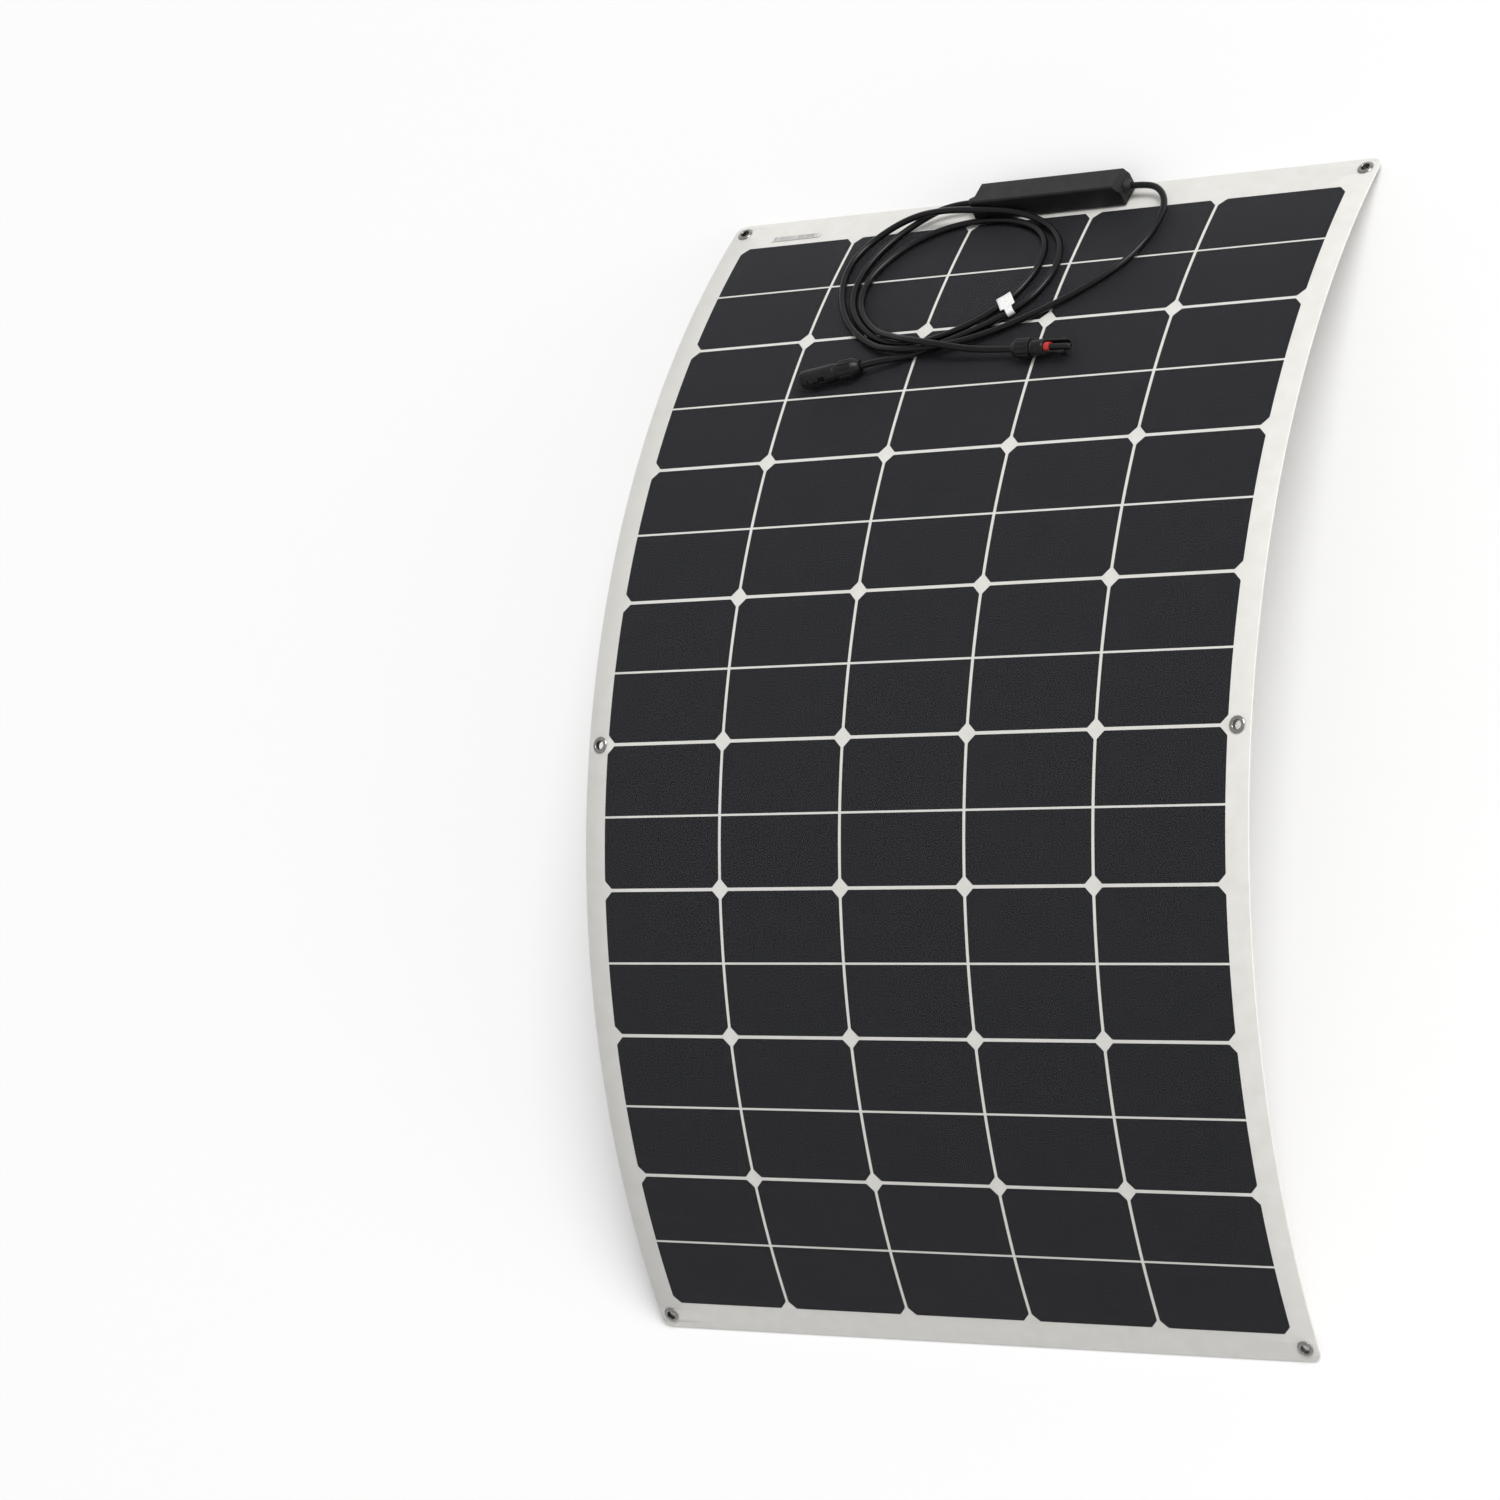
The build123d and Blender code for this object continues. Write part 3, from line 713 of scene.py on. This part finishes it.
def joined(name, shapes, material, smooth_angle=35.0):
    """One piece from several (verts, faces) shapes."""
    verts, faces = [], []
    for more_verts, more_faces in shapes:
        start = len(verts)
        verts += more_verts
        faces += [tuple(start + i for i in face) for face in more_faces]
    return add_piece(name, verts, faces, material, smooth_angle=smooth_angle)


def soften(piece, width):
    """Bevels the piece's sharp edges by a width in millimetres."""
    edge = piece.modifiers.new("soft edges", "BEVEL")
    edge.width = width * MM
    edge.segments = 2
    edge.limit_method = "ANGLE"
    edge.angle_limit = math.radians(40)
    apply_modifiers(piece)
    piece.data.shade_smooth()
    piece.data.set_sharp_from_angle(angle=math.radians(50))


# ---- eyelets -------------------------------------------------------------------------------------
def make_eyelets(node, body, s):
    """The two eyelets at s: a rolled flange over a bore painted dark as shade."""
    shapes = []
    sides = 56
    turn_up = Matrix.Rotation(-math.pi / 2, 4, "Y")
    for side in (-1, 1):
        place = sheet_matrix(side * EYELET_X, s) @ turn_up
        shapes.append(spin([(h, r) for r, h in EYELET_PROFILE], sides, place))
    piece = joined("rolled_" + node, shapes, NICKEL, 50.0)
    # The bore's faces take the dark metal, which paints the shade inside the hole.
    piece.data.materials.append(BORE_PAINTED_SHADE)
    ring = sides * len(EYELET_PROFILE)
    for face in piece.data.polygons:
        if face.index % ring < sides * BORE_SIDES:
            face.material_index = 1
    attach(piece, body)
    stand_for(piece, "eyelet", node)


# ---- plugs ---------------------------------------------------------------------------------------
def cord_frame(before, after, below, origin):
    """Axes at the origin: X from one route point to the next, Z away from the sheet."""
    along = (after - before).normalized()
    up = outward(S_CELLS - below)
    up = (up - along * along.dot(up)).normalized()
    return Matrix.Translation(origin) @ axes_matrix(along, up.cross(along), up)


def end_frame(route):
    """Axes at a cord's end, on along the cord."""
    before, end = route_points(route)[-2:]
    return cord_frame(before, end, route[-1][1], end)


def make_nut(node, place):
    """A cap nut with a domed end and ribs for grip."""
    piece = joined("ribbed_" + node, [spin(NUT_PROFILE, 120, place, NUT_RIBS)], PLUG_PLASTIC)
    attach(piece, "strip_1")
    stand_for(piece, "plug_plastic", node)
    return piece


def cut_windows(piece, place):
    """Cuts the latch windows into both sides of the sleeve."""
    inner, outer = WINDOW_REACH
    half = WINDOW_WIDTH / 2
    for side in (-1, 1):
        lean = place @ Matrix.Rotation(side * math.radians(WINDOW_LEAN), 4, "X")
        for x0, x1 in LATCH_WINDOWS:
            outline = [(x0, inner), (x1, inner), (x1, outer), (x0, outer)]
            cut_away(piece, joined("window", [extrude(outline, -half, half, lean, side)], PLUG_PLASTIC))


def make_sleeve(place):
    """The tube-mouthed housing, with its latch windows."""
    piece = joined("sleeve_body", [spin(SLEEVE_PROFILE, 72, place)], PLUG_PLASTIC)
    cut_windows(piece, place)
    piece.data.shade_smooth()
    piece.data.set_sharp_from_angle(angle=math.radians(35))
    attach(piece, "strip_1")
    stand_for(piece, "plug_plastic", "sleeve_housing")
    return piece


def make_fingers(place):
    """The nosed housing: collar, slim nose and two sprung fingers."""
    body = spin(COLLAR_PROFILE, 64, place)
    half = FINGER_WIDTH / 2
    fingers = [extrude(FINGER_OUTLINE, -half, half, place, side) for side in (-1, 1)]
    piece = joined("finger_body", [body, *fingers], PLUG_PLASTIC)
    soften(piece, 0.25)
    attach(piece, "strip_1")
    stand_for(piece, "plug_plastic", "finger_housing")
    return piece


# ---- tag -----------------------------------------------------------------------------------------
TAG_RUN = 25               # the tag is in the middle of this run of the right lead
TAG_LOOP = 3.35            # radius of its loop round the lead
TAG_NECK = 3.5             # half widths of the loop and of the flag
TAG_FLAG = 7.2
TAG_WAVE = 0.18            # height of the flag's waves
TAG_PAPER = 0.16
TAG_COLUMNS = 9


def tag_line():
    """The paper strip's line in the plane across the lead, as (y, z, half width)."""
    upper = [(-18.4, 4.9, TAG_FLAG), (-14.6, 4.3, TAG_FLAG), (-10.0, 3.9, TAG_FLAG), (-6.0, 3.75, TAG_FLAG),
             (-3.6, 3.7, TAG_FLAG), (-3.0, 3.68, TAG_NECK), (-1.2, 3.6, TAG_NECK)]
    loop = [(TAG_LOOP * math.sin(math.radians(a)), TAG_LOOP * math.cos(math.radians(a)), TAG_NECK)
            for a in range(10, 281, 18)]
    lower = [(-3.5, 1.9, TAG_NECK), (-3.9, 2.7, TAG_NECK), (-4.4, 3.1, TAG_FLAG), (-6.5, 3.4, TAG_FLAG),
             (-10.0, 3.55, TAG_FLAG), (-14.6, 3.85, TAG_FLAG), (-18.2, 4.3, TAG_FLAG)]
    return upper + loop + lower


def make_tag():
    """A paper strip folded round the right lead, its two ends lying on each other."""
    before, after = route_points(RIGHT_ROUTE)[TAG_RUN:TAG_RUN + 2]
    place = cord_frame(before, after, RIGHT_ROUTE[TAG_RUN][1], (before + after) / 2)
    line = tag_line()
    verts, faces = [], []
    for y, z, half in line:
        for k in range(TAG_COLUMNS):
            x = (2 * k / (TAG_COLUMNS - 1) - 1) * half
            wave = TAG_WAVE * math.sin(0.55 * x + 0.4 * y) if half == TAG_FLAG else 0.0
            verts.append(place @ Vector((x * MM, y * MM, (z + wave) * MM)))
    for i in range(len(line) - 1):
        for k in range(TAG_COLUMNS - 1):
            a = i * TAG_COLUMNS + k
            faces.append((a, a + 1, a + 1 + TAG_COLUMNS, a + TAG_COLUMNS))
    piece = add_piece("paper_tag", verts, faces, PAPER, smooth_angle=60.0)
    paper = piece.modifiers.new("thickness", "SOLIDIFY")
    paper.thickness = TAG_PAPER * MM
    paper.offset = 0
    apply_modifiers(piece)
    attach(piece, "strip_1")
    stand_for(piece, "tag_paper", "cord_tag")
    return piece


# ---- label ---------------------------------------------------------------------------------------
LABEL_X = -0.263           # the middle of the strip
LABEL_S = 0.524
LABEL_LENGTH = 0.054
LABEL_HEIGHT = 0.0062
LABEL_THICKNESS = 0.00005
INK_TOP = 0.00007
LABEL_BORDER = 0.002       # clear of bars at each end
BAR_UNIT = 0.0004
BAR_HEIGHT = 0.0052


def thin_plate(x, width, height, h0, h1, verts, faces):
    """Adds a thin plate on the label's plane, centred on x."""
    a = len(verts)
    place = sheet_matrix(LABEL_X, LABEL_S)
    for level in (h0, h1):
        for u, v in ((-0.5, -0.5), (0.5, -0.5), (0.5, 0.5), (-0.5, 0.5)):
            verts.append(place @ Vector((x + u * width, v * height, level)))
    faces += [(a, a + 3, a + 2, a + 1), (a + 4, a + 5, a + 6, a + 7)]
    faces += [(a + k, a + (k + 1) % 4, a + 4 + (k + 1) % 4, a + 4 + k) for k in range(4)]


def make_label():
    """A plain strip of bars that stand for no number, and no lettering."""
    verts, faces = [], []
    thin_plate(0, LABEL_LENGTH, LABEL_HEIGHT, 0.0, LABEL_THICKNESS, verts, faces)
    strip = add_piece("label_strip", verts, faces, LABEL_FILM)
    verts, faces = [], []
    draw = random.Random(7)
    x = LABEL_BORDER - LABEL_LENGTH / 2
    while x < LABEL_LENGTH / 2 - 1.5 * LABEL_BORDER:
        width = BAR_UNIT * draw.choice((1, 1, 2, 3))
        thin_plate(x + width / 2, width, BAR_HEIGHT, LABEL_THICKNESS, INK_TOP, verts, faces)
        x += width + BAR_UNIT * draw.choice((1, 1, 2))
    bars = add_piece("label_bars", verts, faces, LABEL_INK)
    for piece in (strip, bars):
        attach(piece, "strip_0")


# ---- CAD nodes that stay -------------------------------------------------------------------------
KEPT = {
    NICKEL: ["eyelet_washers_top", "eyelet_washers_middle", "eyelet_washers_bottom"],
    BOX_PLASTIC: ["junction_base", "junction_lid"],
    BLACK_RUBBER: ["junction_seal", "cord_glands"],
    WHITE_FOAM: ["junction_pad"],
    DIODE: ["bypass_diode"],
    BRASS: ["cord_terminals"],
    TIN: ["pin_contact", "socket_contact"],
    RED_RUBBER: ["nose_seal"],
}


def paint_kept_nodes():
    """Gives every CAD node that stays its finished material."""
    for material, names in KEPT.items():
        for name in names:
            node = frame["nodes"][name]
            for i in range(len(node.material_slots)):
                node.material_slots[i].material = material


# ---- floor and light -----------------------------------------------------------------------------
FLOOR = 60.0               # half the floor's width, far enough that no view shows its edge
KEY_FROM = (2.0, 2.2, 3.0)
KEY_STRENGTH = 2.1
KEY_SOFTNESS = 28.0        # degrees across the key light
LOW_FROM = (3.2, -0.6, 1.0)
LOW_POWER = 15.0
LOW_SIZE = 1.6
SURROUND = 0.54


def make_floor():
    """A plain pale floor."""
    mesh = bpy.data.meshes.new("floor")
    corners = [(-FLOOR, -FLOOR, 0), (FLOOR, -FLOOR, 0), (FLOOR, FLOOR, 0), (-FLOOR, FLOOR, 0)]
    mesh.from_pydata(corners, [], [(0, 1, 2, 3)])
    mat, _, shader = new_material("floor_pale")
    shader.inputs["Base Color"].default_value = (0.95, 0.95, 0.95, 1)
    shader.inputs["Roughness"].default_value = 0.85
    mesh.materials.append(mat)
    floor = bpy.data.objects.new("floor", mesh)
    bpy.context.scene.collection.objects.link(floor)


def add_lamp(name, kind, back, strength):
    """A lamp at the place back, which shines at the object."""
    data = bpy.data.lights.new(name, kind)
    data.energy = strength
    lamp = bpy.data.objects.new(name, data)
    place = Vector(back)
    rotation = place.to_track_quat("Z", "Y")
    lamp.matrix_world = Matrix.Translation(place) @ rotation.to_matrix().to_4x4()
    bpy.context.scene.collection.objects.link(lamp)
    return data


def make_surroundings():
    """Even pale light all round, and a plain white backdrop above the floor."""
    world = bpy.data.worlds.new("studio")
    world.use_nodes = True
    tree = world.node_tree
    light = tree.nodes["Background"]
    light.inputs["Color"].default_value = (1, 1, 1, 1)
    light.inputs["Strength"].default_value = SURROUND
    backdrop = tree.nodes.new("ShaderNodeBackground")
    backdrop.inputs["Color"].default_value = (1, 1, 1, 1)
    path = tree.nodes.new("ShaderNodeLightPath")
    mix = tree.nodes.new("ShaderNodeMixShader")
    tree.links.new(path.outputs["Is Camera Ray"], mix.inputs["Fac"])
    tree.links.new(light.outputs["Background"], mix.inputs[1])
    tree.links.new(backdrop.outputs["Background"], mix.inputs[2])
    tree.links.new(mix.outputs["Shader"], tree.nodes["World Output"].inputs["Surface"])
    bpy.context.scene.world = world


def make_light():
    """Soft studio light from above the junction box's end, in pale surroundings."""
    make_surroundings()
    key = add_lamp("key", "SUN", KEY_FROM, KEY_STRENGTH)
    key.angle = math.radians(KEY_SOFTNESS)
    low = add_lamp("low", "AREA", LOW_FROM, LOW_POWER)
    low.size = LOW_SIZE


def make_leads():
    """Both leads with the plug halves and the tag on them."""
    nodes = frame["nodes"]
    finger_place, sleeve_place = end_frame(LEFT_ROUTE), end_frame(RIGHT_ROUTE)
    finger_pieces = [make_nut("finger_nut", finger_place), make_fingers(finger_place)]
    sleeve_pieces = [make_nut("sleeve_nut", sleeve_place), make_sleeve(sleeve_place)]
    make_cord("cord_left", LEFT_ROUTE, finger_pieces + [nodes["socket_contact"], nodes["nose_seal"]])
    make_cord("cord_right", RIGHT_ROUTE, sleeve_pieces + [nodes["pin_contact"], make_tag()])


make_camera()
make_leads()
make_sheet()
make_eyelets("eyelets_top", "strip_0", S_END - EYELET_INSET)
make_eyelets("eyelets_middle", "strip_4", S_MIDDLE)
make_eyelets("eyelets_bottom", "strip_8", EYELET_INSET - S_END)
make_label()
paint_kept_nodes()
make_floor()
make_light()
bpy.context.scene.view_settings.view_transform = "Standard"
